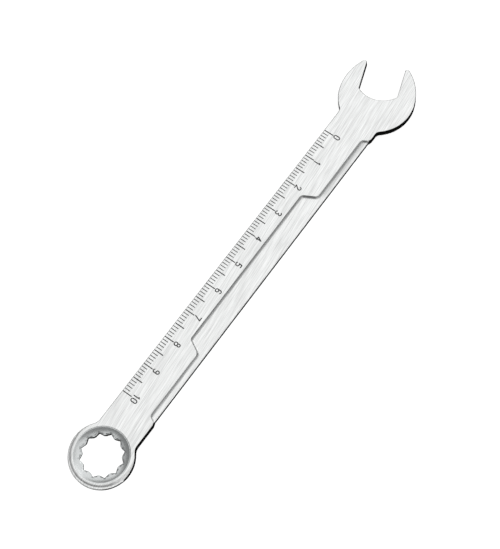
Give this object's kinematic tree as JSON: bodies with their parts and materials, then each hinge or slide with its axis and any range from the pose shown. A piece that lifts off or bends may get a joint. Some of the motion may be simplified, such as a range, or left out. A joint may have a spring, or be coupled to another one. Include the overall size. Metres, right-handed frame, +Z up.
{
  "type": "combination wrench",
  "caption": "Flat combination wrench with a twelve-point ring, an angled open jaw, an edge scale with numerals and a stepped side recess.",
  "frame": {"origin": "the ring socket's axis, on the plane of the underside that the wrench lies on", "axes": "+X from the ring to the jaw, +Y to the edge that carries the scale, +Z up through the face with the scale"},
  "size_m": [0.1594, 0.0239, 0.0025],
  "materials": {
    "steel": "satin brushed along the handle, polished in the ring's dish",
    "enamel": "matt dark filling"
  },
  "bodies": {
    "root": {"wrench_body": "steel", "centimetre_marks": "enamel", "half_centimetre_marks": "enamel", "millimetre_marks": "enamel", "numeral_0": "enamel", "numeral_1": "enamel", "numeral_2": "enamel", "numeral_3": "enamel", "numeral_4": "enamel", "numeral_5": "enamel", "numeral_6": "enamel", "numeral_7": "enamel", "numeral_8": "enamel", "numeral_9": "enamel", "numeral_10": "enamel"}
  },
  "joints": []
}
